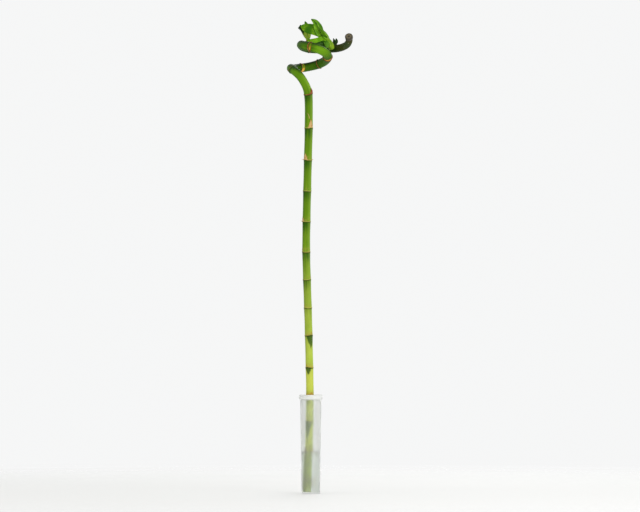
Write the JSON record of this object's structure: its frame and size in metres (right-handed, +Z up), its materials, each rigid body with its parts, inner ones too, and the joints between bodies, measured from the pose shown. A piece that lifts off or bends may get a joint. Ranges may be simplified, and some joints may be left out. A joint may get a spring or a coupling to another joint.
{
  "type": "lucky bamboo",
  "caption": "Curled lucky bamboo: one cut stalk with a spiral head and leafy side shoots, standing in water in a frosted plastic tube.",
  "frame": {"origin": "centre of the tube's flat underside, where it stands", "axes": "+Z up along the tube and the stalk; -Y is the front, from which the spiral head opens; +X is the viewer's right, where the cut end curls out"},
  "size_m": [0.0909, 0.0585, 0.6503],
  "materials": {
    "frosted_plastic": "satin",
    "water": "polished",
    "stalk_skin": "satin",
    "wax": "satin",
    "leaf": "satin",
    "bud": "satin"
  },
  "bodies": {
    "root": {"tube": "frosted_plastic", "water": "water", "stalk": "stalk_skin", "wax_seal": "wax", "back_shoot": "leaf", "right_shoot": "leaf", "bud_shoot": "bud"}
  },
  "joints": []
}
